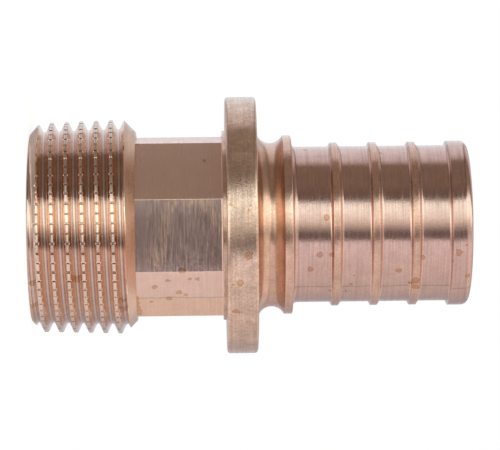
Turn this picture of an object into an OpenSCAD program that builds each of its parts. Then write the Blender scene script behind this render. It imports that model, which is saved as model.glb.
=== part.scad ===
// Male adapter for 25 mm PEX pipe: one turned and milled gunmetal fitting.
// Z runs along the bore. The threaded end face lies at Z = 0, the barb points up.
// From the bottom: taper thread, wrench octagon, flange, round groove, collar,
// barrel with three ribs, end band. A stepped bore runs right through.

/* [Threaded end] */
// Largest diameter of the thread at its gauge plane
thread_dia = 33.25; // [31:0.05:36]
// Distance from crest to crest
thread_pitch = 2.309; // [1.8:0.001:2.6]
// Length over which the diameter grows by one unit of length
thread_taper = 16; // [12:1:60]
// Length of the threaded section
thread_len = 16.45; // [12:0.05:20]
// Distance of the gauge plane from the end face
gauge_len = 10.4; // [6:0.1:12]
// Length of the lead chamfer at the end face
lead_len = 1.45; // [1:0.05:3]
// Depth of the lead chamfer below the crests
lead_depth = 1.6; // [1.2:0.05:2.4]
// Length of the chamfer at the octagon
run_out_len = 2; // [1:0.05:3]
// Depth of the chamfer at the octagon
run_out_depth = 2.05; // [1.6:0.05:2.4]
// Angle about the axis at which a crest starts
thread_start = 14; // [0:1:360]

/* [Wrench octagon] */
// Distance across the flats
flats_af = 27; // [26:0.1:27.6]
// Length of the flats
flats_len = 13.45; // [8:0.05:20]

/* [Flange] */
// Diameter of the flange
flange_dia = 40.2; // [34:0.1:48]
// Thickness of the flange
flange_len = 4.8; // [3:0.1:9]
// Rounding of the two edges of the flange
flange_round = 0.5; // [0.1:0.05:1]
// Diameter of the thin step between flats and flange
step_dia = 29.7; // [29:0.1:31]
// Height of the thin step
step_len = 0.5; // [0.2:0.1:1.2]

/* [Groove and collar] */
// Radius of the round groove above the flange
groove_r = 2.2; // [1.6:0.05:2.6]
// Diameter at the bottom of the groove
groove_dia = 25.65; // [24.6:0.05:26.4]
// Diameter of the collar that stops the pipe
collar_dia = 28; // [27:0.1:29]
// Width of the collar
collar_len = 1.3; // [0.8:0.05:2.5]
// Rounding of the edges of the collar
collar_round = 0.2; // [0.05:0.05:0.35]
// Fillet where the barrel meets the collar
collar_fillet = 0.8; // [0.1:0.05:1]

/* [Barb] */
// Diameter of the plain barrel
barrel_dia = 24.4; // [23.4:0.1:24.8]
// Length of plain barrel from the collar to the first rib
first_gap = 6.05; // [3:0.05:9]
// Distance from rib to rib
rib_pitch = 6.08; // [4:0.01:9]
// Number of ribs below the end band
rib_count = 3; // [1:1:6]
// Diameter of the ribs
rib_dia = 25.6; // [25.1:0.05:26]
// Width of the top of a rib
rib_len = 1.15; // [0.6:0.05:1.8]
// Length of the steep face of a rib, towards the collar
rib_face = 0.1; // [0.05:0.05:0.3]
// Length of the slope behind a rib
rib_slope = 0.35; // [0.1:0.05:1]
// Diameter of the end band
band_dia = 25.8; // [25.2:0.05:26.4]
// Length of the end band
band_len = 3.25; // [2:0.05:6]
// Rounding of the mouth that enters the pipe
band_round = 1.1; // [0.4:0.1:1.7]
// Fillet where the barrel meets each side of a rib
rib_fillet = 0.35; // [0.1:0.05:0.4]

/* [Bore] */
// Bore through the barb and the flange
barb_bore = 19; // [15:0.1:20]
// Wider bore in the threaded end
thread_bore = 22; // [20.6:0.1:22.6]
// Depth of the wider bore
thread_bore_len = 19; // [8:0.1:26]
// Slope of the step between the two bores, from the axis
bore_step_angle = 59; // [30:1:75]
// Chamfer at each mouth of the bore
mouth_chamfer = 0.6; // [0.2:0.05:1]

/* [Hidden] */

// Whitworth form: flanks at 27.5 degrees, crests and roots rounded
flank_angle = 27.5;
form_depth = 0.640327 * thread_pitch;
form_round = 0.137329 * thread_pitch;
round_half = form_round * cos(flank_angle);
round_drop = form_round * (1 - sin(flank_angle));
// One pitch of the form: place along the axis, depth below the crest
form = [
    [0, 0],
    [round_half, round_drop],
    [thread_pitch / 4, form_depth / 2],
    [thread_pitch / 2 - round_half, form_depth - round_drop],
    [thread_pitch / 2, form_depth],
    [thread_pitch / 2 + round_half, form_depth - round_drop],
    [thread_pitch * 3 / 4, form_depth / 2],
    [thread_pitch - round_half, round_drop]
];
form_points = len(form);
// Steps of the helix in one turn
turn_steps = 48;
// Pitches of the helix that are laid out, with one spare below and two above
laid_pitches = ceil(thread_len / thread_pitch) + 3;
row_points = laid_pitches * form_points;
// A point this near to an end face is put on it
face_snap = 0.06;
lead_face_r = crest_radius(0) - lead_depth;
run_out_face_r = crest_radius(thread_len) - run_out_depth;

// A plain core lies this far inside the flats, and the thread ring reaches into it
core_inset = 0.5;
ring_overlap = 0.4;
core_r = flats_af / 2 - core_inset;
ring_inner_r = core_r - ring_overlap;
// How far the octagon reaches into the thread and into the step
octagon_bite = 0.3;
flats = 8;
half_flat = 180 / flats;

octagon_top = thread_len + flats_len;
flange_bottom = octagon_top + step_len;
flange_top = flange_bottom + flange_len;
groove_z = flange_top + groove_r;
groove_centre_r = groove_dia / 2 + groove_r;
collar_rise = groove_centre_r - collar_dia / 2;
collar_bottom = groove_z + sqrt(groove_r * groove_r - collar_rise * collar_rise);
collar_top = collar_bottom + collar_len;
first_rib = collar_top + first_gap;
band_bottom = first_rib + rib_count * rib_pitch;
total_len = band_bottom + band_len;

// How far a cut runs past the face that it opens
cut_over = 1;
arc_steps = 8;
fillet_steps = 3;
$fn = 120;

// Radius of the crests at height z
function crest_radius(z) = thread_dia / 2 + (z - gauge_len) / thread_taper / 2;

// Points on an arc in the half plane of radius and height
function arc(r, z, radius, from, to, steps) = [
    for (i = [0:steps])
        let (a = from + (to - from) * i / steps)
        [r + radius * cos(a), z + radius * sin(a)]
];

// Fillet and steep face up to a land of the given diameter
function face_outline(z, land_dia) = concat(
    arc(barrel_dia / 2 + rib_fillet, z - rib_fillet, rib_fillet, 180, 135, fillet_steps),
    [[land_dia / 2, z + rib_face]]
);

// Steep face below, flat top, slope and fillet above
function rib_outline(z) = concat(
    face_outline(z, rib_dia),
    [[rib_dia / 2, z + rib_len]],
    arc(barrel_dia / 2 + rib_fillet, z + rib_len + rib_slope + rib_fillet,
        rib_fillet, 225, 180, fillet_steps)
);

// The groove starts on the flange and ends where it meets the collar
groove_end = 180 - acos(collar_rise / groove_r);

// Outer outline of everything that is turned above the thread
outline = concat(
    [[0, 0], [core_r, 0], [core_r, octagon_top]],
    [[step_dia / 2, octagon_top], [step_dia / 2, flange_bottom]],
    arc(flange_dia / 2 - flange_round, flange_bottom + flange_round, flange_round, -90, 0, arc_steps),
    arc(flange_dia / 2 - flange_round, flange_top - flange_round, flange_round, 0, 90, arc_steps),
    arc(groove_centre_r, groove_z, groove_r, 270, groove_end, 2 * arc_steps),
    arc(collar_dia / 2 - collar_round, collar_top - collar_round, collar_round, 0, 90, fillet_steps),
    arc(barrel_dia / 2 + collar_fillet, collar_top + collar_fillet, collar_fillet, 270, 180, arc_steps),
    [for (i = [0:rib_count - 1]) each rib_outline(first_rib + i * rib_pitch)],
    face_outline(band_bottom, band_dia),
    arc(band_dia / 2 - band_round, total_len - band_round, band_round, 0, 90, arc_steps),
    [[0, total_len]]
);

module turned_body() {
    rotate_extrude()
        polygon(outline);
}

module wrench_octagon() {
    translate([0, 0, thread_len - octagon_bite])
        rotate([0, 0, half_flat])
            cylinder(h = flats_len + 2 * octagon_bite, d = flats_af / cos(half_flat), $fn = flats);
}

// Height of point k in row j, held between the two end faces
function thread_z(j, k) =
    let (turn = floor(k / form_points) - 1 + j / turn_steps - thread_start / 360)
    let (z = turn * thread_pitch + form[k % form_points][0])
    z < face_snap ? 0 : z > thread_len - face_snap ? thread_len : z;

// Radius of point k at height z: the form, cut back by both chamfers
function thread_r(k, z) = min(
    crest_radius(z) - form[k % form_points][1],
    lead_face_r + z * lead_depth / lead_len,
    run_out_face_r + (thread_len - z) * run_out_depth / run_out_len
);

// The last row meets the first one pitch higher up
function thread_index(j, k) =
    j < turn_steps ? j * row_points + k : min(k + form_points, row_points - 1);

module male_thread() {
    rows = [
        for (j = [0:turn_steps - 1])
            let (a = 360 * j / turn_steps)
            for (k = [0:row_points - 1])
                let (z = thread_z(j, k), r = thread_r(k, z))
                [r * cos(a), r * sin(a), z]
    ];
    inner = [
        for (z = [0, thread_len])
            for (j = [0:turn_steps - 1])
                let (a = 360 * j / turn_steps)
                [ring_inner_r * cos(a), ring_inner_r * sin(a), z]
    ];
    points = concat(rows, inner);
    low = len(rows);
    high = low + turn_steps;
    faces = [
        for (j = [0:turn_steps - 1])
            let (n = (j + 1) % turn_steps)
            each concat(
                [for (k = [0:row_points - 2])
                    let (a = thread_index(j, k), b = thread_index(j, k + 1))
                    let (c = thread_index(j + 1, k + 1), d = thread_index(j + 1, k))
                    each [
                        if (points[a] != points[b] && points[b] != points[c]) [a, b, c],
                        if (points[a] != points[d] && points[c] != points[d]) [a, c, d]
                    ]
                ],
                [
                    [thread_index(j, 0), thread_index(n, 0), low + n, low + j],
                    [low + j, low + n, high + n, high + j],
                    [thread_index(n, row_points - 1), thread_index(j, row_points - 1), high + j, high + n]
                ]
            )
    ];
    polyhedron(points = points, faces = faces);
}

module flow_bore() {
    bore_step = (thread_bore - barb_bore) / 2;
    bore_step_top = thread_bore_len + bore_step / tan(bore_step_angle);
    rotate_extrude()
        polygon([
            [0, -cut_over],
            [thread_bore / 2 + mouth_chamfer + cut_over, -cut_over],
            [thread_bore / 2, mouth_chamfer],
            [thread_bore / 2, thread_bore_len],
            [barb_bore / 2, bore_step_top],
            [barb_bore / 2, total_len - mouth_chamfer],
            [barb_bore / 2 + mouth_chamfer + cut_over, total_len + cut_over],
            [0, total_len + cut_over]
        ]);
}

module adapter_body() {
    color("#c99a83")
        difference() {
            union() {
                turned_body();
                wrench_octagon();
                male_thread();
            }
            flow_bore();
        }
}

adapter_body();
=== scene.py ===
"""Male adapter for PEX pipe, turned and milled from gunmetal, standing on its threaded end.

The fitting is dressed as a stack of three closed tubes with one bore: the threaded end, the
wrench octagon, and the turned flange and barb. Lengths are in millimetres until they are drawn.
"""

import math

import bpy
import numpy as np
from mathutils import Matrix, Vector


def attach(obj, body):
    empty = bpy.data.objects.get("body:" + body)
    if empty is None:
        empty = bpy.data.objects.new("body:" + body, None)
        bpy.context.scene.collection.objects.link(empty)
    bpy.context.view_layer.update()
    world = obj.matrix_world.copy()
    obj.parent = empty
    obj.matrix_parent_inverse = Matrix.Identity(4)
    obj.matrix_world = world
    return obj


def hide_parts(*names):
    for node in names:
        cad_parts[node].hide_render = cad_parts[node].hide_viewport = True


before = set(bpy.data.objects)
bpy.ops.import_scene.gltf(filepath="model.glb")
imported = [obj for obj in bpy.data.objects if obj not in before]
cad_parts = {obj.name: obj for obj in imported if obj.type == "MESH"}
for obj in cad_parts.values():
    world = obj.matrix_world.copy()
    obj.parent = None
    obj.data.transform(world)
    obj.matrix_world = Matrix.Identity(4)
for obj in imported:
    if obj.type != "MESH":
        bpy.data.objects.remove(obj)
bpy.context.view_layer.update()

MM = 0.001
TURN_STEPS = 256
# Points nearer to each other than this, in metres, are one point
WELD = 1e-7
THREAD_WELD = 1e-6

# Heights along the bore, from the threaded end face
THREAD_TOP = 16.45
FLATS_TOP = 29.9
FLANGE_LOW = 30.4
FLANGE_TOP = 35.2
TOTAL = 68.1866

# Thread: 11 to the inch, 55 degrees, on a 1 in 16 taper
PITCH = 2.309
HALF_FORM = math.radians(27.5)
FORM_DEPTH = 0.640327 * PITCH
ROOT_ROUND = 0.137329 * PITCH
FLANK_STEPS = 5
ROOT_STEPS = 4
# Turns that are screwed, the first one below the end face
TURNS = 9
GAUGE = 10.4
CREST_R = 33.25 / 2
TAPER = 1 / 32
CREST_START = 14
NOTCHES = 68
NOTCH_START = 2.3
NOTCH_DEPTH = 0.15
# The shallowest and the deepest notch, as shares of that, and how far a notch strays
NOTCH_RANGE = (0.4, 1.25)
NOTCH_STRAY = 0.04
# Shares of the notch spacing: both ends of its floor, its rim, two places on the land, its rim
NOTCH_SHARES = (-0.045, 0.045, 0.12, 0.37, 0.63, 0.88)
NOTCH_STEPS = len(NOTCH_SHARES)
NOTCH_SEED = 5
# The two chamfers tear the outermost half millimetre of the crests
TORN = 0.13
TORN_BAND = 0.5
# A point this near to a chamfer is on it
CHAMFER_NEAR = 0.05
LAND_HALF = 0.22
LAND_EDGE = 0.03
# A fine valley runs along the middle of the crests
VALLEY_HALF = 0.07
VALLEY_DEPTH = 0.03
# Depths below the crests: where their finish ends, the walls of the notches, the deep flanks
CREST_BAND = 0.35
WALL_HIGH = 0.035
WALL_LOW = 0.125
DEEP_BELOW = 0.62
# Depth of the roots' own finish, from the bottom up
ROOT_BAND = 0.17

LEAD_LEN = 1.45
LEAD_DEPTH = 1.6
RUN_OUT_LEN = 2.0
RUN_OUT_DEPTH = 2.05

BORE_R = 9.5
WIDE_BORE_R = 11.0
BORE_STEP_LOW = 19.0
BORE_STEP_HIGH = 19.0 + 1.5 / math.tan(math.radians(59))
MOUTH = 0.6
# Each core's rim lies this far inside the thread's end face or the flats
INSIDE_THREAD = 0.5
INSIDE_FLATS = 0.6

ACROSS_FLATS = 27.0
FLATS = 8
CORNER = 0.1
FLARE = 0.3

# Turned part: step, flange, groove, collar, barrel, ribs and end band
STEP_R = 14.85
FLANGE_R = 20.1
FLANGE_ROUND = 0.5
GROOVE_ROUND = 2.2
GROOVE_Z = FLANGE_TOP + GROOVE_ROUND
GROOVE_BOTTOM_R = 12.825
GROOVE_CENTRE_R = GROOVE_BOTTOM_R + GROOVE_ROUND
COLLAR_R = 14.0
GROOVE_END = 180 - math.degrees(math.acos((GROOVE_CENTRE_R - COLLAR_R) / GROOVE_ROUND))
COLLAR_TOP = 40.6466
COLLAR_LEN = 1.3
COLLAR_EDGE = 0.2
COLLAR_FILLET = 0.8
BARREL_R = 12.2
FIRST_RIB = 46.6966
RIB_PITCH = 6.08
RIBS = 3
RIB_R = 12.8
RIB_LEN = 1.15
RIB_FACE = 0.1
RIB_TAIL = 0.58
RIB_EDGE = 0.07
RIB_FILLET = 0.42
BAND_LOW = FIRST_RIB + RIBS * RIB_PITCH
BAND_R = 12.9
BAND_ROUND = 1.1


def select_none():
    bpy.ops.object.select_all(action="DESELECT")


def only(piece):
    """Makes one piece the selected and active one."""
    select_none()
    piece.select_set(True)
    bpy.context.view_layer.objects.active = piece


def arc(r, z, radius, start, end, steps):
    """Points on an arc in the half plane of radius and height, angles in degrees."""
    points = []
    for i in range(steps + 1):
        a = math.radians(start + (end - start) * i / steps)
        points.append((r + radius * math.cos(a), z + radius * math.sin(a)))
    return points


def turn(name, outline, closed=True):
    """Draws a ring and pulls it along the outline, ring by ring, as a lathe would cut it."""
    select_none()
    radius, height = outline[0]
    bpy.ops.mesh.primitive_circle_add(
        vertices=TURN_STEPS, radius=radius * MM, location=(0, 0, height * MM)
    )
    piece = bpy.context.active_object
    piece.name = name
    bpy.ops.object.transform_apply(location=True, rotation=True, scale=True)
    bpy.ops.object.mode_set(mode="EDIT")
    bpy.ops.mesh.select_all(action="SELECT")
    for r, z in outline[1:] + ([outline[0]] if closed else []):
        bpy.ops.mesh.extrude_region_move(
            TRANSFORM_OT_translate={"value": (0, 0, (z - height) * MM)}
        )
        grow = r / radius
        bpy.ops.transform.resize(value=(grow, grow, 1), center_override=(0, 0, z * MM))
        radius, height = r, z
    bpy.ops.mesh.select_all(action="SELECT")
    bpy.ops.mesh.remove_doubles(threshold=WELD)
    bpy.ops.mesh.normals_make_consistent(inside=False)
    bpy.ops.object.mode_set(mode="OBJECT")
    return piece


def read_points(piece):
    """The places of a piece's vertices, in millimetres."""
    mesh = piece.data
    points = np.empty(len(mesh.vertices) * 3)
    mesh.vertices.foreach_get("co", points)
    return points.reshape(-1, 3) / MM


def write_points(piece, points):
    """Moves a piece's vertices to the given places, in millimetres."""
    piece.data.vertices.foreach_set("co", (points * MM).ravel())
    piece.data.update()


def join(name, *pieces):
    """Joins the pieces into the first one, which gets the name."""
    select_none()
    for piece in pieces:
        piece.select_set(True)
    bpy.context.view_layer.objects.active = pieces[0]
    bpy.ops.object.join()
    pieces[0].name = name
    return pieces[0]


def fill_ring(piece, height):
    """Closes the flat ring between the open edges that lie at one height."""
    only(piece)
    bpy.ops.object.mode_set(mode="EDIT")
    bpy.ops.mesh.select_mode(type="EDGE")
    bpy.ops.mesh.select_all(action="DESELECT")
    bpy.ops.mesh.select_non_manifold()
    bpy.ops.object.mode_set(mode="OBJECT")
    mesh = piece.data
    for edge in mesh.edges:
        if edge.select:
            ends = [mesh.vertices[v].co.z / MM for v in edge.vertices]
            edge.select = all(abs(z - height) < 1e-3 for z in ends)
    bpy.ops.object.mode_set(mode="EDIT")
    bpy.ops.mesh.fill(use_beauty=True)
    bpy.ops.object.mode_set(mode="OBJECT")


def finish_mesh(piece, angle=32):
    """Merges doubles, turns the faces outward, and smooths across edges below the angle."""
    only(piece)
    bpy.ops.object.mode_set(mode="EDIT")
    bpy.ops.mesh.select_all(action="SELECT")
    bpy.ops.mesh.remove_doubles(threshold=WELD)
    bpy.ops.mesh.normals_make_consistent(inside=False)
    bpy.ops.object.mode_set(mode="OBJECT")
    bpy.ops.object.shade_smooth_by_angle(angle=math.radians(angle))


def tooth_outline():
    """One pitch of the thread, from crest to crest: distance along the axis, depth."""
    edge_half = LAND_EDGE * 0.6
    root_drop = ROOT_ROUND * (1 - math.sin(HALF_FORM))
    root_half = ROOT_ROUND * math.cos(HALF_FORM)
    flank_start = (LAND_HALF + edge_half, LAND_EDGE)
    flank_end = (PITCH / 2 - root_half, FORM_DEPTH - root_drop)
    side = [(0, VALLEY_DEPTH), (VALLEY_HALF, 0), (LAND_HALF - edge_half, 0)]
    for i in range(FLANK_STEPS + 1):
        t = i / FLANK_STEPS
        side.append(
            (
                flank_start[0] + (flank_end[0] - flank_start[0]) * t,
                flank_start[1] + (flank_end[1] - flank_start[1]) * t,
            )
        )
    for i in range(1, ROOT_STEPS + 1):
        a = HALF_FORM + (math.pi / 2 - HALF_FORM) * i / ROOT_STEPS
        side.append(
            (PITCH / 2 - ROOT_ROUND * math.cos(a), FORM_DEPTH - ROOT_ROUND * (1 - math.sin(a)))
        )
    return side + [(PITCH - z, d) for z, d in reversed(side[:-1])]


def cut_thread():
    """One tooth is drawn point by point and screwed up the axis."""
    tooth = tooth_outline()
    select_none()
    bpy.ops.mesh.primitive_plane_add(size=MM, location=(0, 0, 0))
    piece = bpy.context.active_object
    piece.name = "threaded_end"
    bpy.ops.object.mode_set(mode="EDIT")
    bpy.ops.mesh.select_mode(type="VERT")
    bpy.ops.mesh.select_all(action="SELECT")
    bpy.ops.mesh.merge(type="CENTER")
    bpy.ops.transform.translate(value=(CREST_R * MM, 0, -PITCH * MM))
    place = tooth[0]
    for z, depth in tooth[1:]:
        bpy.ops.mesh.extrude_region_move(
            TRANSFORM_OT_translate={"value": ((place[1] - depth) * MM, 0, (z - place[0]) * MM)}
        )
        place = (z, depth)
    bpy.ops.object.mode_set(mode="OBJECT")
    screw = piece.modifiers.new("thread", "SCREW")
    screw.axis = "Z"
    screw.angle = 2 * math.pi
    screw.screw_offset = PITCH * MM
    screw.iterations = TURNS
    screw.steps = screw.render_steps = NOTCHES * NOTCH_STEPS
    screw.use_merge_vertices = True
    screw.merge_threshold = THREAD_WELD
    only(piece)
    bpy.ops.object.modifier_apply(modifier="thread")
    bpy.ops.object.mode_set(mode="EDIT")
    bpy.ops.mesh.select_all(action="SELECT")
    bpy.ops.mesh.remove_doubles(threshold=THREAD_WELD)
    bpy.ops.object.mode_set(mode="OBJECT")
    return piece


def shape_thread(piece):
    """Gives the screwed tooth its taper, its notched crests and its two chamfers."""
    points = read_points(piece)
    points[:, 2] -= PITCH * CREST_START / 360
    radius = np.hypot(points[:, 0], points[:, 1])
    height = points[:, 2]
    step = np.round(np.arctan2(points[:, 1], points[:, 0]) / (2 * math.pi) * NOTCHES * NOTCH_STEPS)
    step = step.astype(int)
    notch = step // NOTCH_STEPS
    share = np.array(NOTCH_SHARES)[step % NOTCH_STEPS]
    chance = np.random.default_rng(NOTCH_SEED)
    notch_depth = NOTCH_DEPTH * chance.uniform(*NOTCH_RANGE, NOTCHES)
    share = share + chance.uniform(-NOTCH_STRAY, NOTCH_STRAY, NOTCHES)[notch % NOTCHES]
    angle = (notch + share) / NOTCHES * 2 * math.pi + math.radians(NOTCH_START)
    depth = CREST_R - radius
    on_floor = step % NOTCH_STEPS < 2
    depth[on_floor] = np.maximum(depth, notch_depth[notch % NOTCHES])[on_floor]
    radius = CREST_R - depth + (height - GAUGE) * TAPER
    chamfer = np.minimum(*chamfer_radii(height))
    torn = TORN * chance.uniform(0, 1, len(radius)) * (chamfer > radius - CHAMFER_NEAR)
    radius = np.minimum(radius, chamfer - torn * (chamfer > crest_r(height) - TORN_BAND))
    points[:, 0] = radius * np.cos(angle)
    points[:, 1] = radius * np.sin(angle)
    write_points(piece, points)


def crest_r(height):
    """Radius of the thread's crests at a height."""
    return CREST_R + (height - GAUGE) * TAPER


def chamfer_radii(height):
    """Radius at a height of the lead chamfer and of the one at the octagon."""
    lead = crest_r(0) - LEAD_DEPTH + height * LEAD_DEPTH / LEAD_LEN
    run_out = crest_r(THREAD_TOP) - RUN_OUT_DEPTH
    return lead, run_out + (THREAD_TOP - height) * RUN_OUT_DEPTH / RUN_OUT_LEN


def cut_off(piece, height, keep_above):
    """Cuts a piece square at one height."""
    only(piece)
    bpy.ops.object.mode_set(mode="EDIT")
    bpy.ops.mesh.select_all(action="SELECT")
    bpy.ops.mesh.bisect(
        plane_co=(0, 0, height * MM),
        plane_no=(0, 0, 1),
        threshold=WELD,
        clear_inner=keep_above,
        clear_outer=not keep_above,
    )
    bpy.ops.object.mode_set(mode="OBJECT")


def make_threaded_end():
    """The thread and its core, joined by the flat rings at both ends."""
    thread = cut_thread()
    shape_thread(thread)
    cut_off(thread, 0, True)
    cut_off(thread, THREAD_TOP, False)
    tube_r = crest_r(0) - LEAD_DEPTH - INSIDE_THREAD
    tube = turn(
        "thread_core",
        [
            (tube_r, 0),
            (WIDE_BORE_R + MOUTH, 0),
            (WIDE_BORE_R, MOUTH),
            (WIDE_BORE_R, THREAD_TOP),
            (tube_r, THREAD_TOP),
        ],
        closed=False,
    )
    piece = join("threaded_end", thread, tube)
    fill_ring(piece, 0)
    fill_ring(piece, THREAD_TOP)
    finish_mesh(piece, angle=24)
    return piece


def pick_edges(piece, wanted):
    """Selects the edges whose two heights, in millimetres, pass the test."""
    only(piece)
    bpy.ops.object.mode_set(mode="EDIT")
    bpy.ops.mesh.select_mode(type="EDGE")
    bpy.ops.mesh.select_all(action="DESELECT")
    bpy.ops.object.mode_set(mode="OBJECT")
    for edge in piece.data.edges:
        edge.select = wanted(*(piece.data.vertices[v].co.z / MM for v in edge.vertices))


def make_octagon():
    """The cutter leaves a small flare where each flat runs out at the flange."""
    select_none()
    flare = arc(ACROSS_FLATS / 2 + FLARE, 0, FLARE, 180, 105, 5)
    flare_low = FLATS_TOP - flare[-1][1]
    height = flare_low - THREAD_TOP
    bpy.ops.mesh.primitive_cylinder_add(
        vertices=FLATS,
        radius=ACROSS_FLATS / 2 / math.cos(math.pi / FLATS) * MM,
        depth=height * MM,
        end_fill_type="NOTHING",
        location=(0, 0, (THREAD_TOP + height / 2) * MM),
        rotation=(0, 0, math.pi / FLATS),
    )
    prism = bpy.context.active_object
    bpy.ops.object.transform_apply(location=True, rotation=True, scale=True)
    pick_edges(prism, lambda low, high: abs(high - low) > 1)
    bpy.ops.object.mode_set(mode="EDIT")
    bpy.ops.mesh.bevel(offset=CORNER * MM, segments=3, affect="EDGES")
    bpy.ops.object.mode_set(mode="OBJECT")
    pick_edges(prism, lambda low, high: min(low, high) > flare_low - 0.01)
    bpy.ops.object.mode_set(mode="EDIT")
    radius, rise = flare[0]
    for r, z in flare[1:]:
        bpy.ops.mesh.extrude_region_move(TRANSFORM_OT_translate={"value": (0, 0, (z - rise) * MM)})
        grow = r / radius
        bpy.ops.transform.resize(
            value=(grow, grow, 1), center_override=(0, 0, (flare_low + z) * MM)
        )
        radius, rise = r, z
    bpy.ops.object.mode_set(mode="OBJECT")
    tube_r = ACROSS_FLATS / 2 - INSIDE_FLATS
    tube = turn(
        "octagon_core",
        [
            (tube_r, THREAD_TOP),
            (WIDE_BORE_R, THREAD_TOP),
            (WIDE_BORE_R, BORE_STEP_LOW),
            (BORE_R, BORE_STEP_HIGH),
            (BORE_R, FLATS_TOP),
            (tube_r, FLATS_TOP),
        ],
        closed=False,
    )
    piece = join("wrench_octagon", prism, tube)
    fill_ring(piece, THREAD_TOP)
    fill_ring(piece, FLATS_TOP)
    finish_mesh(piece)
    return piece


def rib_face(z, top):
    """Fillet and steep face that lead from the barrel up to a land.

    Both arcs stop short of a quarter turn, so the face between them leans back a little.
    """
    r, f, e = BARREL_R, RIB_FILLET, RIB_EDGE
    return arc(r + f, z - f, f, 180, 104, 6) + arc(top - e, z + RIB_FACE + e, e, 280, 360, 3)


def rib(z):
    """Steep face, flat top, slope and fillet of one rib, towards the mouth."""
    r, f, e = BARREL_R, RIB_FILLET, RIB_EDGE
    return (
        rib_face(z, RIB_R)
        + arc(RIB_R - e, z + RIB_LEN - e, e, 0, 55, 3)
        + arc(r + f, z + RIB_LEN + RIB_TAIL, f, 235, 180, 5)
    )


def make_barb():
    """The whole outline of flange and barb, turned in one go."""
    outline = [(BORE_R, FLATS_TOP), (STEP_R, FLATS_TOP), (STEP_R, FLANGE_LOW)]
    outline += arc(FLANGE_R - FLANGE_ROUND, FLANGE_LOW + FLANGE_ROUND, FLANGE_ROUND, -90, 0, 6)
    outline += arc(FLANGE_R - FLANGE_ROUND, FLANGE_TOP - FLANGE_ROUND, FLANGE_ROUND, 0, 90, 6)
    outline += arc(GROOVE_CENTRE_R, GROOVE_Z, GROOVE_ROUND, 270, GROOVE_END, 26)
    outline += arc(COLLAR_R - COLLAR_EDGE, COLLAR_TOP - COLLAR_EDGE, COLLAR_EDGE, 0, 90, 3)
    outline += arc(BARREL_R + COLLAR_FILLET, COLLAR_TOP + COLLAR_FILLET, COLLAR_FILLET, 270, 180, 8)
    for i in range(RIBS):
        outline += rib(FIRST_RIB + i * RIB_PITCH)
    outline += rib_face(BAND_LOW, BAND_R)
    outline += arc(BAND_R - BAND_ROUND, TOTAL - BAND_ROUND, BAND_ROUND, 0, 90, 10)
    outline += [(BORE_R + MOUTH, TOTAL), (BORE_R, TOTAL - MOUTH)]
    piece = turn("flange_and_barb", outline)
    finish_mesh(piece)
    return piece


# Heat and water stains that show from the front: x, y, z and radius
BARB_STAINS = [
    (5.72, -10.78, 43.20, 0.44),
    (3.41, -11.71, 44.61, 0.49),
    (8.30, -8.94, 49.66, 0.30),
    (6.87, -10.08, 49.98, 0.15),
    (6.14, -10.54, 56.76, 0.40),
    (4.00, -11.52, 60.45, 0.37),
    (8.26, -9.25, 58.63, 0.40),
    (7.72, -10.21, 59.39, 0.61),
    (8.90, -9.20, 59.47, 0.55),
    (4.55, -12.06, 64.83, 0.34),
    (3.20, -12.50, 66.00, 0.55),
    (7.00, -10.75, 67.47, 0.39),
    (2.07, -12.73, 67.09, 0.15),
    (3.42, -11.79, 46.46, 0.37),
    (9.50, -7.74, 46.44, 0.30),
    (9.62, -7.51, 48.80, 0.24),
    (-11.94, -2.52, 42.86, 0.34),
    (-2.39, -11.96, 45.66, 0.41),
    (-11.47, -4.15, 54.38, 0.30),
    (-10.69, -6.02, 54.06, 0.27),
]
FLAT_STAINS = [
    (7.05, -12.05, 21.41, 0.34),
    (6.85, -12.24, 24.64, 0.32),
    (6.87, -12.23, 25.90, 0.37),
    (8.24, -10.85, 19.28, 0.41),
    (9.23, -9.87, 22.98, 0.51),
    (9.61, -9.48, 24.09, 0.29),
    (10.24, -8.85, 21.48, 0.46),
    (10.77, -8.32, 18.76, 0.27),
    (10.30, -8.80, 16.40, 0.55),
    (11.00, -8.10, 16.40, 0.50),
    (11.70, -7.40, 16.45, 0.60),
    (12.40, -6.70, 16.50, 0.65),
    (12.90, -6.20, 16.60, 0.60),
    (5.40, -13.50, 23.58, 0.51),
    (-10.98, -8.11, 27.12, 0.27),
    (-13.50, -5.40, 16.70, 0.37),
]
THREAD_STAINS = [
    (6.43, -13.62, 7.54, 0.61),
    (7.03, -13.07, 0.65, 0.49),
    (10.83, -10.17, 0.71, 0.61),
    (11.66, -9.94, 14.51, 0.55),
    (10.04, -11.52, 14.57, 0.43),
]
RIM_STAINS = [
    (11.2, -16.69, 31.6, 0.5),
    (11.45, -16.52, 32.0, 0.34),
    (6.9, -18.88, 31.3, 0.22),
    (-5.31, -19.38, 30.94, 0.30),
    (-5.10, -19.44, 33.91, 0.24),
    (-4.55, -19.58, 33.72, 0.24),
    (6.6, -18.98, 32.4, 0.55),
    (2.4, -19.95, 33.6, 0.61),
]
BACK_STAIN_GAP = 4.2
# What the metal keeps of its colour inside a stain, and once more at its rim
STAIN_TINT = (0.84, 0.70, 0.55, 1)
STAIN_RIM_TINT = (0.82, 0.71, 0.63, 1)
# Tan patches of the brushed flats: direction across the patch, its place and half its width
FLAT_PATCHES = [
    ((0.28, 0, 0.96), 19.6, 0.75),
    ((0.75, 0, -0.66), -21.2, 1.2),
]
# How far the edges of the patches wander, and the heights over which the scores begin
PATCH_WANDER = 5.0
SMOOTH_STRIP = (17.7, 18.5)
# The scores run across the flat, a third of a millimetre apart
SCORES_PER_MM = (0.22, 0.22, 3.4)
SCORE_DEPTH = 0.006
# What the metal keeps of its colour below the line, where the table's yellower reflection is
# painted
PAINTED_TABLE_TINT = (1.0, 0.96, 0.86, 1)
# The dark line painted where the table's edge is reflected wavers this far, and shows only outside
# the second radius, fading in from the first
PAINTED_EDGE_WAVE = 0.7
PAINTED_EDGE_SHOWS = (11.9, 12.1)
# How much that painted line darkens the metal
PAINTED_EDGE_DARKENS = 0.24


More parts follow.
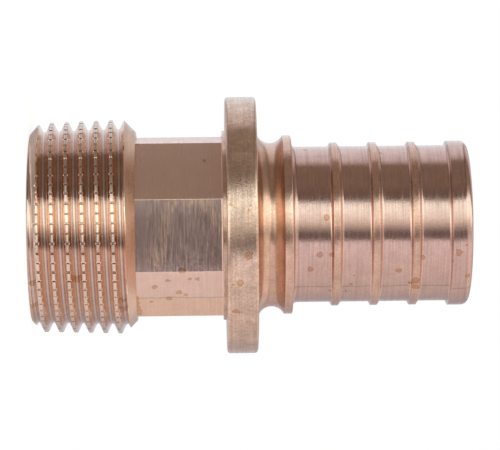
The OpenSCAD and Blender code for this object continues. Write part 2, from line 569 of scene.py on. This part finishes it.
def srgb(code):
    """A hex colour as it looks on the screen, turned to linear light."""
    values = [int(code[i : i + 2], 16) / 255 for i in (1, 3, 5)]
    return [v / 12.92 if v <= 0.04045 else ((v + 0.055) / 1.055) ** 2.4 for v in values]


def add(tree, kind, inputs=None, **settings):
    """Adds one node; an input is a value, a node, or the output that feeds it."""
    node = tree.nodes.new(kind)
    for name, value in settings.items():
        setattr(node, name, value)
    for name, value in (inputs or {}).items():
        if isinstance(name, str):
            socket = next(i for i in node.inputs if i.name == name and i.enabled)
        else:
            socket = node.inputs[name]
        if isinstance(value, bpy.types.Node):
            value = next(o for o in value.outputs if o.enabled)
        if isinstance(value, bpy.types.NodeSocket):
            tree.links.new(value, socket)
        else:
            socket.default_value = value
    return node


def in_millimetres(tree):
    """A point's place on the part, in millimetres."""
    place = add(tree, "ShaderNodeTexCoord").outputs["Object"]
    return add(tree, "ShaderNodeVectorMath", {0: place, "Scale": 1 / MM}, operation="SCALE")


def tool_lines(tree, place, width, across):
    """Rings that the tool leaves, 0 to 1; across says how fast they follow radius and height."""
    height = add(tree, "ShaderNodeSeparateXYZ", {0: place}).outputs["Z"]
    flat = add(tree, "ShaderNodeVectorMath", {0: place, 1: (1, 1, 0)}, operation="MULTIPLY")
    radius = add(tree, "ShaderNodeVectorMath", {0: flat}, operation="LENGTH").outputs["Value"]
    out = add(tree, "ShaderNodeMath", {0: radius, 1: across[0] / width}, operation="MULTIPLY")
    line = add(
        tree,
        "ShaderNodeMath",
        {0: height, 1: across[1] / width, 2: out},
        operation="MULTIPLY_ADD",
    )
    line = add(tree, "ShaderNodeCombineXYZ", {"Z": line})
    drift = add(
        tree,
        "ShaderNodeVectorMath",
        {0: flat, 1: (0.07, 0.07, 0), 2: line},
        operation="MULTIPLY_ADD",
    )
    rings = add(
        tree,
        "ShaderNodeTexNoise",
        {"Vector": drift, "Scale": 1.0, "Detail": 2.0, "Roughness": 0.7},
    )
    return add(tree, "ShaderNodeMapRange", {"Value": rings, "From Min": 0.3, "From Max": 0.7})


def stain_depth(tree, place, stains):
    """How far inside the nearest stain a point lies, in millimetres."""
    nearest = None
    for x, y, z, r in stains:
        gap = add(tree, "ShaderNodeVectorMath", {0: place, 1: (x, y, z)}, operation="DISTANCE")
        depth = add(tree, "ShaderNodeMath", {0: r, 1: gap.outputs["Value"]}, operation="SUBTRACT")
        if nearest:
            depth = add(tree, "ShaderNodeMath", {0: depth, 1: nearest}, operation="MAXIMUM")
        nearest = depth
    cells = add(tree, "ShaderNodeTexVoronoi", {"Vector": place, "Scale": 1 / BACK_STAIN_GAP})
    size = add(tree, "ShaderNodeSeparateXYZ", {0: cells.outputs["Color"]})
    size = add(
        tree,
        "ShaderNodeMapRange",
        {"Value": size, "From Min": 0.55, "To Min": -0.2, "To Max": 0.9},
    )
    behind = add(tree, "ShaderNodeSeparateXYZ", {0: place}).outputs["Y"]
    behind = add(
        tree,
        "ShaderNodeMapRange",
        {"Value": behind, "From Min": -3.0, "From Max": 1.0, "To Min": -2.0, "To Max": 0.0},
    )
    size = add(tree, "ShaderNodeMath", {0: size, 1: behind}, operation="ADD")
    depth = add(
        tree,
        "ShaderNodeMath",
        {0: cells.outputs["Distance"], 1: -BACK_STAIN_GAP, 2: size},
        operation="MULTIPLY_ADD",
    )
    depth = add(tree, "ShaderNodeMath", {0: depth, 1: nearest}, operation="MAXIMUM")
    ragged = add(tree, "ShaderNodeTexNoise", {"Vector": place, "Scale": 1.7, "Detail": 3.0})
    ragged = add(tree, "ShaderNodeMath", {0: ragged, 1: 0.5}, operation="SUBTRACT")
    return add(tree, "ShaderNodeMath", {0: ragged, 1: 0.9, 2: depth}, operation="MULTIPLY_ADD")


def stained(tree, place, colour, stains):
    """Browns the metal inside each stain, most at its rim."""
    depth = stain_depth(tree, place, stains)
    inside = add(
        tree,
        "ShaderNodeMapRange",
        {"Value": depth, "From Min": -0.04, "From Max": 0.05},
        interpolation_type="SMOOTHSTEP",
    )
    from_rim = add(tree, "ShaderNodeMath", {0: depth, 1: 0.07}, operation="SUBTRACT")
    from_rim = add(tree, "ShaderNodeMath", {0: from_rim}, operation="ABSOLUTE")
    rim = add(
        tree,
        "ShaderNodeMapRange",
        {"Value": from_rim, "From Min": 0.09, "From Max": 0.0},
        interpolation_type="SMOOTHSTEP",
    )
    for share, tint in ((inside, STAIN_TINT), (rim, STAIN_RIM_TINT)):
        colour = add(
            tree,
            "ShaderNodeMix",
            {"Factor": share, "A": colour, "B": tint},
            data_type="RGBA",
            blend_type="MULTIPLY",
        )
    return colour


def new_material(name):
    """An empty material and its node tree."""
    made = bpy.data.materials.new(name)
    made.use_nodes = True
    tree = made.node_tree
    tree.nodes.clear()
    return made, tree


def painted_table_edge(tree, place, painted_edge_at, tan):
    """The tone of a faint dark line painted where the table's edge is reflected, and how far a
    point lies on the side below it, where the table's yellower reflection is painted.
    """
    angle = math.radians(painted_edge_at)
    side = (math.sin(angle), -math.cos(angle), 0)
    outward = (math.cos(angle), math.sin(angle), 0)
    out = add(tree, "ShaderNodeVectorMath", {0: place, 1: outward}, operation="DOT_PRODUCT")
    shown = add(
        tree,
        "ShaderNodeMapRange",
        {
            "Value": out.outputs["Value"],
            "From Min": PAINTED_EDGE_SHOWS[0],
            "From Max": PAINTED_EDGE_SHOWS[1],
            "To Max": -PAINTED_EDGE_DARKENS,
        },
    )
    off = add(tree, "ShaderNodeVectorMath", {0: place, 1: side}, operation="DOT_PRODUCT")
    wave = add(tree, "ShaderNodeTexNoise", {"Vector": place, "Scale": 0.6, "Detail": 3.0})
    off = add(
        tree,
        "ShaderNodeMath",
        {0: wave, 1: PAINTED_EDGE_WAVE, 2: off.outputs["Value"]},
        operation="MULTIPLY_ADD",
    )
    off = add(tree, "ShaderNodeMath", {0: off, 1: PAINTED_EDGE_WAVE / 2}, operation="SUBTRACT")
    painted_table_side = add(
        tree,
        "ShaderNodeMapRange",
        {"Value": off, "From Min": 0.1, "From Max": -0.1, "To Max": tan},
    )
    off = add(tree, "ShaderNodeMath", {0: off}, operation="ABSOLUTE")
    line = add(tree, "ShaderNodeMapRange", {"Value": off, "From Min": 0.2, "From Max": 0.06})
    line = add(tree, "ShaderNodeMath", {0: line, 1: shown, 2: 1.0}, operation="MULTIPLY_ADD")
    return line, painted_table_side


def gunmetal(
    name, colour, gloss, width, across, stains,
    mottle=0.12, pits=0.01, streak=0.0, painted_edge_at=0.0, tan=0.0, film=0.0,
):
    """One finish of the cast and cut gunmetal.

    gloss is the roughness of the smoothest and the roughest tool line, width their spacing in
    millimetres, mottle how much the tone wanders, pits the depth of the fine grain, streak how
    much the tone follows the lines. A faint dark line is painted along the part at the given angle,
    where the table's edge is reflected, and tan says how much yellower the metal is painted below
    it, as the table's reflection. film is the share of it under dull oxide.
    """
    made, tree = new_material(name)
    place = in_millimetres(tree)
    lines = tool_lines(tree, place, width, across)
    cloud = add(
        tree,
        "ShaderNodeTexNoise",
        {"Vector": place, "Scale": 0.45, "Detail": 4.0, "Roughness": 0.65},
    )
    grain = add(
        tree,
        "ShaderNodeTexNoise",
        {"Vector": place, "Scale": 3.2, "Detail": 3.0, "Roughness": 0.7},
    )
    tone = add(
        tree,
        "ShaderNodeMapRange",
        {
            "Value": cloud,
            "From Min": 0.3,
            "From Max": 0.7,
            "To Min": 1 + mottle / 2,
            "To Max": 1 - mottle,
        },
    )
    speck = add(
        tree,
        "ShaderNodeMapRange",
        {
            "Value": grain,
            "From Min": 0.25,
            "From Max": 0.75,
            "To Min": 1 - mottle,
            "To Max": 1 + mottle,
        },
    )
    tone = add(tree, "ShaderNodeMath", {0: tone, 1: speck}, operation="MULTIPLY")
    if streak:
        ring = add(
            tree,
            "ShaderNodeMapRange",
            {"Value": lines, "To Min": 1 + streak / 2, "To Max": 1 - streak},
        )
        tone = add(tree, "ShaderNodeMath", {0: tone, 1: ring}, operation="MULTIPLY")
    # Painted reflection: a faint dark line where the table's edge is reflected
    if painted_edge_at:
        line, painted_table_side = painted_table_edge(tree, place, painted_edge_at, tan)
        tone = add(tree, "ShaderNodeMath", {0: tone, 1: line}, operation="MULTIPLY")
    base = add(
        tree, "ShaderNodeVectorMath", {0: srgb(colour), "Scale": tone}, operation="SCALE"
    )
    # Painted reflection: the metal below that line is tinted yellower, as the table reflected in it
    if painted_edge_at:
        base = add(
            tree,
            "ShaderNodeMix",
            {"Factor": painted_table_side, "A": base, "B": PAINTED_TABLE_TINT},
            data_type="RGBA",
            blend_type="MULTIPLY",
        )
    base = stained(tree, place, base, stains)
    rough = add(
        tree, "ShaderNodeMapRange", {"Value": lines, "To Min": gloss[0], "To Max": gloss[1]}
    )
    # The polish wanders a little, by a roughness of 0.04 either way
    blur = add(tree, "ShaderNodeMath", {0: cloud, 1: 0.08, 2: -0.04}, operation="MULTIPLY_ADD")
    rough = add(tree, "ShaderNodeMath", {0: rough, 1: blur}, operation="ADD")
    bumps = add(
        tree, "ShaderNodeBump", {"Height": grain, "Distance": pits * MM, "Strength": 1.0}
    )
    shader = add(
        tree,
        "ShaderNodeBsdfPrincipled",
        {"Base Color": base, "Metallic": 1.0 - film, "Roughness": rough, "Normal": bumps},
    )
    add(tree, "ShaderNodeOutputMaterial", {"Surface": shader})
    return made


def missed_by_belt(tree, place, scores):
    """Tan patches that the belt missed: a slash across the flat and two corners."""
    wander = add(
        tree,
        "ShaderNodeTexNoise",
        {"Vector": place, "Scale": 0.35, "Detail": 3.0, "Roughness": 0.6},
    )
    patches = None
    for way, patch_at, half in FLAT_PATCHES:
        off = add(tree, "ShaderNodeVectorMath", {0: place, 1: way}, operation="DOT_PRODUCT")
        off = add(
            tree, "ShaderNodeMath", {0: off.outputs["Value"], 1: patch_at}, operation="SUBTRACT"
        )
        off = add(
            tree,
            "ShaderNodeMath",
            {0: wander, 1: PATCH_WANDER, 2: off},
            operation="MULTIPLY_ADD",
        )
        off = add(tree, "ShaderNodeMath", {0: off, 1: PATCH_WANDER / 2}, operation="SUBTRACT")
        off = add(tree, "ShaderNodeMath", {0: off}, operation="ABSOLUTE")
        patch = add(
            tree,
            "ShaderNodeMapRange",
            {"Value": off, "From Min": half + 0.5, "From Max": half - 0.5},
            interpolation_type="SMOOTHSTEP",
        )
        if patches:
            patch = add(tree, "ShaderNodeMath", {0: patch, 1: patches}, operation="MAXIMUM")
        patches = patch
    worn = add(
        tree,
        "ShaderNodeMapRange",
        {"Value": scores, "From Min": 0.1, "From Max": 0.6, "To Min": 0.35},
    )
    return add(tree, "ShaderNodeMath", {0: patches, 1: worn}, operation="MULTIPLY")


def brushed_flat():
    """Two opposite flats rubbed by a coarse belt: grey film, pale scores straight across."""
    made, tree = new_material("brushed_gunmetal")
    place = in_millimetres(tree)
    score_way = add(
        tree, "ShaderNodeVectorMath", {0: place, 1: SCORES_PER_MM}, operation="MULTIPLY"
    )
    scores = add(
        tree,
        "ShaderNodeTexNoise",
        {"Vector": score_way, "Scale": 1.0, "Detail": 3.0, "Roughness": 0.8},
    )
    scores = add(
        tree, "ShaderNodeMapRange", {"Value": scores, "From Min": 0.36, "From Max": 0.68}
    )
    patches = missed_by_belt(tree, place, scores)
    grain = add(
        tree,
        "ShaderNodeTexNoise",
        {"Vector": place, "Scale": 3.0, "Detail": 3.0, "Roughness": 0.8},
    )
    along = add(tree, "ShaderNodeSeparateXYZ", {0: place})
    # The cutter left the strip next to the thread smooth
    scored = add(
        tree,
        "ShaderNodeMapRange",
        {
            "Value": along.outputs["Z"],
            "From Min": SMOOTH_STRIP[0],
            "From Max": SMOOTH_STRIP[1],
            "To Min": 0.25,
            "To Max": 1.0,
        },
    )
    depth = add(tree, "ShaderNodeMath", {0: scores, 1: 0.45}, operation="SUBTRACT")
    depth = add(tree, "ShaderNodeMath", {0: depth, 1: scored}, operation="MULTIPLY")
    bright = add(tree, "ShaderNodeMath", {0: depth, 1: 0.6, 2: 0.9}, operation="MULTIPLY_ADD")
    # Specks of oil stain gather towards one edge
    speckled = add(
        tree,
        "ShaderNodeMapRange",
        {
            "Value": along.outputs["X"],
            "From Min": 0.5,
            "From Max": 4.0,
            "To Min": 0.25,
            "To Max": 0.55,
        },
    )
    speck = add(tree, "ShaderNodeMapRange", {"Value": grain, "From Min": 0.4, "From Max": 0.62})
    speck = add(tree, "ShaderNodeMath", {0: speck, 1: -0.5}, operation="MULTIPLY")
    speck = add(
        tree, "ShaderNodeMath", {0: speck, 1: speckled, 2: 1.0}, operation="MULTIPLY_ADD"
    )
    bright = add(tree, "ShaderNodeMath", {0: bright, 1: speck}, operation="MULTIPLY")
    # Painted shading: the flat is drawn darker towards one edge and lighter towards the edge where
    # the specks gather
    slope = add(
        tree,
        "ShaderNodeMapRange",
        {
            "Value": along.outputs["X"],
            "From Min": -2.5,
            "From Max": 3.0,
            "To Min": 0.7,
            "To Max": 1.25,
        },
    )
    bright = add(tree, "ShaderNodeMath", {0: bright, 1: slope}, operation="MULTIPLY")
    lift = add(tree, "ShaderNodeMath", {0: patches, 1: 0.12, 2: 1.0}, operation="MULTIPLY_ADD")
    bright = add(tree, "ShaderNodeMath", {0: bright, 1: lift}, operation="MULTIPLY")
    base = add(
        tree,
        "ShaderNodeMix",
        {"Factor": patches, "A": (*srgb("#D8BDB8"), 1), "B": (*srgb("#E2C4B4"), 1)},
        data_type="RGBA",
    )
    base = add(tree, "ShaderNodeVectorMath", {0: base, "Scale": bright}, operation="SCALE")
    base = stained(tree, place, base, FLAT_STAINS)
    rough = add(tree, "ShaderNodeMapRange", {"Value": scores, "To Min": 0.11, "To Max": 0.18})
    bumps = add(
        tree,
        "ShaderNodeBump",
        {"Height": scores, "Distance": SCORE_DEPTH * MM, "Strength": 1.0},
    )
    shader = add(
        tree,
        "ShaderNodeBsdfPrincipled",
        {"Base Color": base, "Metallic": 0.82, "Roughness": rough, "Normal": bumps},
    )
    add(tree, "ShaderNodeOutputMaterial", {"Surface": shader})
    return made


def dress(piece, materials, part_of):
    """Lays the materials on a piece; part_of gives the number of each face's material."""
    for material in materials:
        piece.data.materials.append(material)
    faces = piece.data.polygons
    middle = np.empty(len(faces) * 3)
    facing_way = np.empty(len(faces) * 3)
    faces.foreach_get("center", middle)
    faces.foreach_get("normal", facing_way)
    middle = middle.reshape(-1, 3) / MM
    number = part_of(np.hypot(middle[:, 0], middle[:, 1]), middle[:, 2], facing_way.reshape(-1, 3))
    faces.foreach_set("material_index", number.astype(np.int32))
    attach(piece, "root")
    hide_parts("adapter_body")


def thread_parts(radius, height, normal):
    """Flanks, crests, faced metal, roots, notch walls, deep flanks or lead chamfer."""
    flanks, crests, faced, roots, walls, deep, lead_chamfer = range(7)
    below = crest_r(height) - radius
    lead, run_out = chamfer_radii(height)
    upright = np.abs(normal[:, 2]) <= 0.6
    number = np.where(below > DEEP_BELOW, deep, flanks)
    number = np.where((below < CREST_BAND) & upright, crests, number)
    in_wall = (below > WALL_HIGH) & (below < WALL_LOW)
    number = np.where(in_wall & upright, walls, number)
    number = np.where(below > FORM_DEPTH - ROOT_BAND, roots, number)
    chamfer = np.minimum(lead, run_out)
    on_chamfer = (radius > chamfer - 0.03) & (crest_r(height) > chamfer)
    number = np.where(on_chamfer | (radius < WIDE_BORE_R + 2), faced, number)
    # The lead chamfer takes the faced finish drawn darker as painted shade
    return np.where(on_chamfer & (height < LEAD_LEN), lead_chamfer, number)


def octagon_parts(radius, height, normal):
    """Milled flats, the two brushed flats, or faced end faces and bore."""
    milled, brushed, faced = range(3)
    number = np.where(np.abs(normal[:, 1]) > 0.97, brushed, milled)
    end_face = np.abs(normal[:, 2]) > 0.98
    return np.where((radius < ACROSS_FLATS / 2 - 0.5) | end_face, faced, number)


def barb_parts(radius, height, normal):
    """Polished barb, flange, faced bore, groove, or the lands of collar and ribs."""
    turned, flange, faced, groove, lands = range(5)
    collar_low = COLLAR_TOP - COLLAR_LEN
    in_flange = height < FLANGE_TOP + 0.01
    number = np.where(in_flange & (radius > STEP_R - 1), flange, turned)
    number = np.where(~in_flange & (height < collar_low), groove, number)
    raised = (radius > BARREL_R + 0.3) & (height > collar_low)
    number = np.where(raised & (height < BAND_LOW - 0.5), lands, number)
    return np.where(radius < BORE_R + 0.05, faced, number)


# The camera: angle round the part in degrees, yaw and tilt in radians, distance in millimetres
VIEW_ANGLE = -96.4
VIEW_YAW = 0.018
VIEW_TILT = 0.0119
VIEW_DISTANCE = 420
PIXELS_PER_MM = 6.362
PICTURE_WIDTH = 500
SENSOR_WIDTH = 36
AIM_Z = 34.2
FLOOR_R = 110
FLOOR_DROP = 0.02

facing = Vector((math.cos(math.radians(VIEW_ANGLE)), math.sin(math.radians(VIEW_ANGLE)), 0))
above = Vector((facing.y, -facing.x, 0))

# Light that the metal sees straight round the part, by the angle from the camera
LIGHT_ROUND = [
    (-180, (0.7, 0.7, 0.75)),
    (-150, (0.53, 0.5, 0.53)),
    (-110, (0.78, 0.73, 0.69)),
    (-60, (0.91, 0.85, 0.83)),
    (-27, (1.03, 1.0, 1.01)),
    (-23, (0.19, 0.16, 0.15)),
    (-13, (0.19, 0.16, 0.15)),
    (-5, (0.63, 0.58, 0.51)),
    (0, (0.93, 0.9, 0.81)),
    (7, (1.25, 1.27, 1.14)),
    (18, (1.45, 1.61, 1.48)),
    (28.5, (1.42, 1.6, 1.5)),
    (35, (0.19, 0.145, 0.115)),
    (46, (0.21, 0.16, 0.125)),
    (58, (0.27, 0.213, 0.163)),
    (96, (0.275, 0.217, 0.168)),
    (99, (0.51, 0.46, 0.44)),
    (108, (0.81, 0.81, 0.83)),
    (130, (0.96, 1.02, 1.09)),
    (160, (0.99, 1.07, 1.13)),
    (180, (0.7, 0.7, 0.75)),
]
# The same for what looks 20 degrees or more towards either end: the soft box is taller there
LIGHT_ASLANT = [
    (-180, (0.4, 0.4, 0.42)),
    (-150, (0.45, 0.41, 0.43)),
    (-110, (0.62, 0.56, 0.52)),
    (-60, (0.75, 0.68, 0.63)),
    (-28, (0.84, 0.77, 0.72)),
    (-24.5, (0.15, 0.125, 0.115)),
    (-17, (0.15, 0.125, 0.115)),
    (-14, (0.55, 0.53, 0.47)),
    (-5, (1.15, 1.2, 1.05)),
    (0, (1.55, 1.85, 1.75)),
    (8, (2.3, 2.85, 2.75)),
    (20, (2.45, 3.05, 3.05)),
    (32.5, (2.1, 2.55, 2.5)),
    (36.5, (0.108, 0.082, 0.064)),
    (104, (0.108, 0.082, 0.064)),
    (124, (0.29, 0.25, 0.24)),
    (150, (0.5, 0.49, 0.51)),
    (180, (0.4, 0.4, 0.42)),
]
# The same for what looks along the bore, at the paper that closes the tent
LIGHT_ENDWAYS = [
    (-180, (0.66, 0.61, 0.58)),
    (-120, (1.1, 1.01, 0.95)),
    (-40, (1.2, 1.1, 1.02)),
    (-27, (0.85, 0.76, 0.7)),
    (-15, (0.8, 0.71, 0.64)),
    (-4, (1.35, 1.27, 1.12)),
    (9, (1.75, 1.72, 1.5)),
    (30, (1.5, 1.5, 1.3)),
    (42, (0.6, 0.53, 0.46)),
    (54, (0.36, 0.3, 0.26)),
    (100, (0.32, 0.27, 0.235)),
    (118, (0.74, 0.67, 0.62)),
    (145, (0.88, 0.86, 0.86)),
    (180, (0.66, 0.61, 0.58)),
]
# The soft box hangs askew, and its band turns as the view slants towards an end
ASKEW = 0.58
# The tent narrows towards its ends, so the bands draw together there
NARROWING = 0.45
ASLANT_STARTS = 0.18
ASLANT_FULL = 0.32
BRIGHTEST = 3.1
PAPER_STARTS = 0.28
PAPER_FULL = 0.42
PAPER_SHARE = 0.82


def round_the_part(tree):
    """Where a ray looks: its share of a turn round the part, and its slant to an end."""
    way = add(tree, "ShaderNodeTexCoord").outputs["Generated"]
    ahead = add(tree, "ShaderNodeVectorMath", {0: way, 1: facing}, operation="DOT_PRODUCT")
    up = add(tree, "ShaderNodeVectorMath", {0: way, 1: above}, operation="DOT_PRODUCT")
    along = add(tree, "ShaderNodeSeparateXYZ", {0: way}).outputs["Z"]
    rise = add(tree, "ShaderNodeMath", {0: along}, operation="ABSOLUTE")
    near_end = add(tree, "ShaderNodeMath", {0: rise, 1: 4.0}, operation="POWER")
    ahead = add(
        tree,
        "ShaderNodeMath",
        {0: near_end, 1: NARROWING, 2: ahead.outputs["Value"]},
        operation="MULTIPLY_ADD",
    )
    angle = add(
        tree, "ShaderNodeMath", {0: up.outputs["Value"], 1: ahead}, operation="ARCTAN2"
    )
    fall = add(tree, "ShaderNodeMath", {0: rise, 1: rise}, operation="MULTIPLY")
    fall = add(tree, "ShaderNodeMath", {0: 1.0, 1: fall}, operation="SUBTRACT")
    slant = add(tree, "ShaderNodeMath", {0: along, 1: rise}, operation="MULTIPLY")
    slant = add(tree, "ShaderNodeMath", {0: slant, 1: fall}, operation="MULTIPLY")
    angle = add(
        tree, "ShaderNodeMath", {0: slant, 1: -ASKEW, 2: angle}, operation="MULTIPLY_ADD"
    )
    share = add(
        tree,
        "ShaderNodeMapRange",
        {"Value": angle, "From Min": -math.pi, "From Max": math.pi},
    )
    return share, rise


def light_the_studio():
    """A tent round the part: soft box in front, gap, pale table below, paper at both ends."""
    world = bpy.data.worlds.new("studio")
    bpy.context.scene.world = world
    world.use_nodes = True
    tree = world.node_tree
    tree.nodes.clear()
    share, rise = round_the_part(tree)
    tents = []
    for lights in (LIGHT_ROUND, LIGHT_ASLANT, LIGHT_ENDWAYS):
        ramp = add(tree, "ShaderNodeValToRGB", {"Fac": share})
        stops = ramp.color_ramp.elements
        while len(stops) < len(lights):
            stops.new(0.5)
        for stop, (degrees, colour) in zip(stops, lights):
            stop.position = (degrees + 180) / 360
            stop.color = (*(c / BRIGHTEST for c in colour), 1)
        tents.append(add(tree, "ShaderNodeBackground", {"Color": ramp, "Strength": BRIGHTEST}))
    aslant = add(
        tree,
        "ShaderNodeMapRange",
        {"Value": rise, "From Min": ASLANT_STARTS, "From Max": ASLANT_FULL},
        interpolation_type="SMOOTHSTEP",
    )
    tent = add(tree, "ShaderNodeMixShader", {0: aslant, 1: tents[0], 2: tents[1]})
    at_end = add(
        tree,
        "ShaderNodeMapRange",
        {
            "Value": rise,
            "From Min": PAPER_STARTS,
            "From Max": PAPER_FULL,
            "To Max": PAPER_SHARE,
        },
        interpolation_type="SMOOTHSTEP",
    )
    tent = add(tree, "ShaderNodeMixShader", {0: at_end, 1: tent, 2: tents[2]})
    white = add(tree, "ShaderNodeBackground", {"Color": (1, 1, 1, 1), "Strength": 1.0})
    path = add(tree, "ShaderNodeLightPath").outputs["Is Camera Ray"]
    mix = add(tree, "ShaderNodeMixShader", {0: path, 1: tent, 2: white})
    add(tree, "ShaderNodeOutputWorld", {"Surface": mix})


def lay_floor():
    """A round white floor just under the end face; its glow fades it into the background."""
    select_none()
    bpy.ops.mesh.primitive_circle_add(
        vertices=96,
        radius=FLOOR_R * MM,
        fill_type="NGON",
        location=(0, 0, -FLOOR_DROP * MM),
    )
    floor = bpy.context.active_object
    floor.name = "studio_floor"
    made, tree = new_material("floor_white")
    matt = add(tree, "ShaderNodeBsdfDiffuse", {"Color": (0.9, 0.9, 0.9, 1)})
    glow = add(tree, "ShaderNodeEmission", {"Color": (1, 1, 1, 1), "Strength": 1.15})
    path = add(tree, "ShaderNodeLightPath").outputs["Is Camera Ray"]
    seen = add(tree, "ShaderNodeMath", {0: path, 1: 0.75}, operation="MULTIPLY")
    mix = add(tree, "ShaderNodeMixShader", {0: seen, 1: matt, 2: glow})
    add(tree, "ShaderNodeOutputMaterial", {"Surface": mix})
    floor.data.materials.append(made)
    floor.visible_glossy = False


def set_camera():
    """The part lies on its side in the picture, so the camera's right is the part's up."""
    data = bpy.data.cameras.new("camera")
    camera = bpy.data.objects.new("camera", data)
    bpy.context.scene.collection.objects.link(camera)
    back = facing * math.cos(VIEW_YAW) - Vector((0, 0, 1)) * math.sin(VIEW_YAW)
    along = Vector((0, 0, 1)) - back * back.z
    along.normalize()
    rise = back.cross(along)
    right = along * math.cos(VIEW_TILT) - rise * math.sin(VIEW_TILT)
    up = along * math.sin(VIEW_TILT) + rise * math.cos(VIEW_TILT)
    place = Vector((0, 0, AIM_Z * MM)) + back * VIEW_DISTANCE * MM
    turned_to = Matrix((right, up, back)).transposed().to_4x4()
    camera.matrix_world = Matrix.Translation(place) @ turned_to
    data.sensor_width = SENSOR_WIDTH
    data.lens = SENSOR_WIDTH * PIXELS_PER_MM * VIEW_DISTANCE / PICTURE_WIDTH
    data.clip_start = 0.01
    data.clip_end = 10
    bpy.context.scene.camera = camera


threaded_end = make_threaded_end()
octagon = make_octagon()
barb = make_barb()

# Fresh cut thread: bright flanks that throw their colour at each other
deep = gunmetal(
    "cut_gunmetal", "#EACDBA", (0.06, 0.11), 0.16, (1, 0), THREAD_STAINS, mottle=0.08, pits=0.003
)
# Upper half of the flanks: the same cut, warmer
thread = gunmetal(
    "warm_gunmetal", "#DDC4B7", (0.06, 0.11), 0.16, (1, 0), THREAD_STAINS, mottle=0.08, pits=0.003
)
# Roots of the thread: the same cut, drawn darker as painted shade in the roots
root = gunmetal(
    "painted_shade_root_gunmetal", "#CFB8B1", (0.1, 0.16), 0.16, (1, 1), THREAD_STAINS, mottle=0.1, pits=0.004
)
# Crests notched by a knurl: dull and a little torn
crests = gunmetal(
    "knurled_gunmetal", "#E0CAC1", (0.16, 0.28), 0.2, (1, 1), THREAD_STAINS, pits=0.02
)
# Walls of the notches: the knurl leaves them dull; their dark colour is painted shade in the
# notches
notched = gunmetal(
    "painted_shade_notch_gunmetal", "#A98574", (0.2, 0.34), 0.2, (1, 1), THREAD_STAINS, pits=0.02
)
# Chamfers, end faces and bore: faced by a coarse tool, satin
faced = gunmetal(
    "faced_gunmetal", "#E2C3B0", (0.24, 0.36), 0.2, (1.3, 1), THREAD_STAINS, mottle=0.1, pits=0.02
)
# Lead chamfer at the thread's mouth: the same cut, drawn darker as painted shade for the dimmer
# light at that end
lead = gunmetal(
    "painted_shade_lead_gunmetal", "#C8AC9B", (0.24, 0.36), 0.2, (1.3, 1), THREAD_STAINS,
    mottle=0.14, pits=0.02,
)
# Milled flats: satin, with fine lines straight across, a faint dark line painted where the table's
# edge is reflected, and the table's yellower reflection painted below it
milled = gunmetal(
    "milled_gunmetal", "#EFCEC2", (0.26, 0.38), 0.3, (0, 1), FLAT_STAINS,
    mottle=0.06, pits=0.008, streak=0.05, painted_edge_at=-41.6, tan=1, film=0.05,
)
# Turned and polished barb: glossy, with fine rings and a faint dark line painted where the table's
# edge is reflected
turned = gunmetal(
    "turned_gunmetal", "#D2B0A6", (0.07, 0.25), 0.26, (1.3, 1), BARB_STAINS,
    mottle=0.1, pits=0.008, streak=0.12, painted_edge_at=-44.2,
)
# Rim and faces of the flange: duller and browner, with coarser rings
rim = gunmetal(
    "rim_gunmetal", "#DBBBAA", (0.1, 0.27), 0.3, (1.3, 1), RIM_STAINS,
    mottle=0.24, pits=0.02, streak=0.14, film=0.12,
)
# Groove under the collar: turned by a round tool, smooth and more orange
groove = gunmetal(
    "grooved_gunmetal", "#D9B29D", (0.17, 0.29), 0.26, (1.3, 1), BARB_STAINS,
    mottle=0.14, pits=0.008, streak=0.06, film=0.04,
)
# Lands of the collar and the ribs: rubbed by handling, a little more tan
lands = gunmetal(
    "rubbed_gunmetal", "#DAB4A2", (0.12, 0.3), 0.26, (1.3, 1), BARB_STAINS,
    mottle=0.16, pits=0.012, streak=0.1, film=0.04,
)

dress(threaded_end, (thread, crests, faced, root, notched, deep, lead), thread_parts)
dress(octagon, (milled, brushed_flat(), faced), octagon_parts)
dress(barb, (turned, rim, faced, groove, lands), barb_parts)
lay_floor()
light_the_studio()
set_camera()

view = bpy.context.scene.view_settings
view.view_transform = "Standard"
